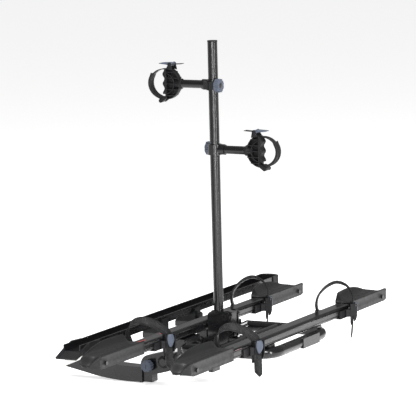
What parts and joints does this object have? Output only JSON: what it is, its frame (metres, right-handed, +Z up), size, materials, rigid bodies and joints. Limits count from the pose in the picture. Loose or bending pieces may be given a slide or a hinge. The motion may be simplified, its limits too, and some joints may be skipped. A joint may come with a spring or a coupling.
{
  "type": "hitch mounted bike rack",
  "caption": "Fold-down bike rack for a vehicle's square hitch receiver: two wheel trays on a tube hoop, a central mast with padded ratchet hooks, and a stored loading ramp.",
  "frame": {"origin": "centre of the hitch pin hole in the square shank", "axes": "+X along the trays and along the pin hole, +Y towards the vehicle, +Z up"},
  "size_m": [1.49, 0.8977, 1.1366],
  "materials": {
    "black_coat": "semi-gloss black powder coat",
    "zinc": "bright zinc plate",
    "slate_plastic": "satin blue-grey moulding",
    "black_plastic": "fine moulded texture, dark grey",
    "strap_plastic": "ribbed flexible strap",
    "rubber": "soft black rubber"
  },
  "bodies": {
    "hitch": {"hitch_shank": "black_coat", "tilt_pivot_bolt": "black_coat"},
    "wedge": {"anti_rattle_wedge": "zinc", "draw_rod": "zinc"},
    "shank_knob": {"tightening_knob": "slate_plastic"},
    "frame": {"base_hoop": "black_coat", "crossbar": "black_coat", "frame_spine": "black_coat", "tilt_cheeks": "black_coat", "tilt_bushes": "black_plastic", "knuckle_cover": "black_plastic", "bumper_plate": "black_coat", "near_tray_posts": "black_coat", "ramp_arms": "black_coat", "ramp_cradles": "black_plastic", "mast_bracket": "black_coat", "mast_pivot_bolt": "black_coat", "far_beam": "black_coat", "far_left_cup": "black_plastic", "far_right_cup": "black_plastic", "near_beam": "black_coat", "near_left_cup": "black_plastic", "near_right_cup": "black_plastic", "cup_bolts": "black_coat"},
    "mast_lock": {"mast_lock_pin": "black_coat"},
    "release_lever": {"tilt_lever": "black_coat"},
    "latch_pin": {"tilt_latch_pin": "zinc"},
    "mast": {"mast_foot": "black_coat", "mast_tube": "black_coat", "mast_cap": "black_plastic"},
    "ramp": {"ramp_channel": "black_coat", "ramp_toe": "black_plastic", "ramp_end_cap": "black_plastic"},
    "ramp_knob": {"ramp_clamp_knob": "black_plastic"},
    "upper_arm": {"upper_collar": "black_coat", "upper_arm_tube": "black_coat"},
    "upper_knob": {"upper_arm_knob": "slate_plastic"},
    "upper_hook_body": {"upper_hook": "black_plastic", "upper_hook_pad": "rubber"},
    "upper_strap_body": {"upper_hook_strap": "strap_plastic"},
    "upper_lever_body": {"upper_hook_lever": "slate_plastic"},
    "lower_arm": {"lower_collar": "black_coat", "lower_arm_tube": "black_coat"},
    "lower_knob": {"lower_arm_knob": "slate_plastic"},
    "lower_hook_body": {"lower_hook": "black_plastic", "lower_hook_pad": "rubber"},
    "lower_strap_body": {"lower_hook_strap": "strap_plastic"},
    "lower_lever_body": {"lower_hook_lever": "slate_plastic"},
    "far_left_station": {"far_left_strap_base": "black_plastic", "far_left_strap": "strap_plastic"},
    "far_left_buckle": {"far_left_lever": "slate_plastic"},
    "far_right_station": {"far_right_strap_base": "black_plastic", "far_right_strap": "strap_plastic"},
    "far_right_buckle": {"far_right_lever": "slate_plastic"},
    "near_left_station": {"near_left_strap_base": "black_plastic", "near_left_strap": "strap_plastic"},
    "near_left_buckle": {"near_left_lever": "slate_plastic"},
    "near_right_station": {"near_right_strap_base": "black_plastic", "near_right_strap": "strap_plastic"},
    "near_right_buckle": {"near_right_lever": "slate_plastic"}
  },
  "joints": [
    {"name": "frame_tilt", "type": "hinge", "parent": "hitch", "child": "frame", "pos_m": [0, -0.313, 0.026], "axis": [1, 0, 0], "range_deg": [-90, 25]},
    {"name": "shank_knob_turn", "type": "hinge", "parent": "hitch", "child": "shank_knob", "pos_m": [0, -0.256, 0.011], "axis": [1, 0, 0], "range_deg": [0, 720]},
    {"name": "wedge_slide", "type": "slide", "parent": "hitch", "child": "wedge", "axis": [0, -0.9205, 0.3907], "range_m": [0, 0.004]},
    {"name": "tilt_lever_turn", "type": "hinge", "parent": "frame", "child": "release_lever", "pos_m": [0, -0.416, 0.05], "axis": [1, 0, 0], "range_deg": [-25, 0], "stiffness_Nm_per_rad": 1, "springref_deg": 28.65},
    {"name": "latch_pin_slide", "type": "slide", "parent": "frame", "child": "latch_pin", "axis": [0, -1, 0], "range_m": [0, 0.0101]},
    {"name": "mast_fold", "type": "hinge", "parent": "frame", "child": "mast", "pos_m": [0, -0.551, 0.194], "axis": [1, 0, 0], "range_deg": [0, 90]},
    {"name": "mast_lock_pull", "type": "slide", "parent": "frame", "child": "mast_lock", "axis": [-1, 0, 0], "range_m": [0, 0.014], "stiffness_N_per_m": 400, "springref_m": -0.01},
    {"name": "upper_arm_slide", "type": "slide", "parent": "mast", "child": "upper_arm", "axis": [0, 0, 1], "range_m": [-0.08, 0.11]},
    {"name": "upper_knob_turn", "type": "hinge", "parent": "upper_arm", "child": "upper_knob", "pos_m": [-0.024, -0.532, 0.945], "axis": [0, 1, 0], "range_deg": [0, 720]},
    {"name": "upper_hook_turn", "type": "hinge", "parent": "upper_arm", "child": "upper_hook_body", "pos_m": [0, -0.396, 0.945], "axis": [0, 1, 0], "range_deg": [-90, 90]},
    {"name": "upper_strap_open", "type": "hinge", "parent": "upper_hook_body", "child": "upper_strap_body", "pos_m": [0, -0.322, 0.889], "axis": [-1, 0, 0], "range_deg": [0, 110]},
    {"name": "upper_lever_open", "type": "hinge", "parent": "upper_hook_body", "child": "upper_lever_body", "pos_m": [0, -0.358, 1.008], "axis": [1, 0, 0], "range_deg": [0, 35]},
    {"name": "lower_arm_slide", "type": "slide", "parent": "mast", "child": "lower_arm", "axis": [0, 0, 1], "range_m": [-0.25, 0.08]},
    {"name": "lower_knob_turn", "type": "hinge", "parent": "lower_arm", "child": "lower_knob", "pos_m": [0.024, -0.484, 0.735], "axis": [0, -1, 0], "range_deg": [0, 720]},
    {"name": "lower_hook_turn", "type": "hinge", "parent": "lower_arm", "child": "lower_hook_body", "pos_m": [0, -0.62, 0.735], "axis": [0, 1, 0], "range_deg": [-90, 90]},
    {"name": "lower_strap_open", "type": "hinge", "parent": "lower_hook_body", "child": "lower_strap_body", "pos_m": [0, -0.694, 0.679], "axis": [1, 0, 0], "range_deg": [0, 110]},
    {"name": "lower_lever_open", "type": "hinge", "parent": "lower_hook_body", "child": "lower_lever_body", "pos_m": [0, -0.658, 0.798], "axis": [-1, 0, 0], "range_deg": [0, 35]},
    {"name": "far_left_strap_slide", "type": "slide", "parent": "frame", "child": "far_left_station", "axis": [1, 0, 0], "range_m": [0, 0.06]},
    {"name": "far_left_lever_open", "type": "hinge", "parent": "far_left_station", "child": "far_left_buckle", "pos_m": [-0.32408, -0.50122, 0.178], "axis": [-0.8829, 0.4695, 0], "range_deg": [0, 100]},
    {"name": "far_right_strap_slide", "type": "slide", "parent": "frame", "child": "far_right_station", "axis": [-1, 0, 0], "range_m": [0, 0.06]},
    {"name": "far_right_lever_open", "type": "hinge", "parent": "far_right_station", "child": "far_right_buckle", "pos_m": [0.38744, -0.50122, 0.178], "axis": [-0.8829, -0.4695, 0], "range_deg": [0, 100]},
    {"name": "near_left_strap_slide", "type": "slide", "parent": "frame", "child": "near_left_station", "axis": [1, 0, 0], "range_m": [0, 0.06]},
    {"name": "near_left_lever_open", "type": "hinge", "parent": "near_left_station", "child": "near_left_buckle", "pos_m": [-0.32408, -0.81622, 0.178], "axis": [-0.8829, 0.4695, 0], "range_deg": [0, 100]},
    {"name": "near_right_strap_slide", "type": "slide", "parent": "frame", "child": "near_right_station", "axis": [-1, 0, 0], "range_m": [0, 0.06]},
    {"name": "near_right_lever_open", "type": "hinge", "parent": "near_right_station", "child": "near_right_buckle", "pos_m": [0.38744, -0.81622, 0.178], "axis": [-0.8829, -0.4695, 0], "range_deg": [0, 100]},
    {"name": "ramp_lift", "type": "slide", "parent": "frame", "child": "ramp", "axis": [0, 0, 1], "range_m": [0, 0.12]},
    {"name": "ramp_knob_turn", "type": "hinge", "parent": "frame", "child": "ramp_knob", "pos_m": [0.112, -0.371, 0.162], "axis": [0, 1, 0], "range_deg": [-180, 180]}
  ],
  "couplings": [
    {"joint": "shank_knob_turn", "follows": "wedge_slide", "rad_per_m": 3141.5},
    {"joint": "latch_pin_slide", "follows": "tilt_lever_turn", "m_per_rad": -0.022916}
  ]
}
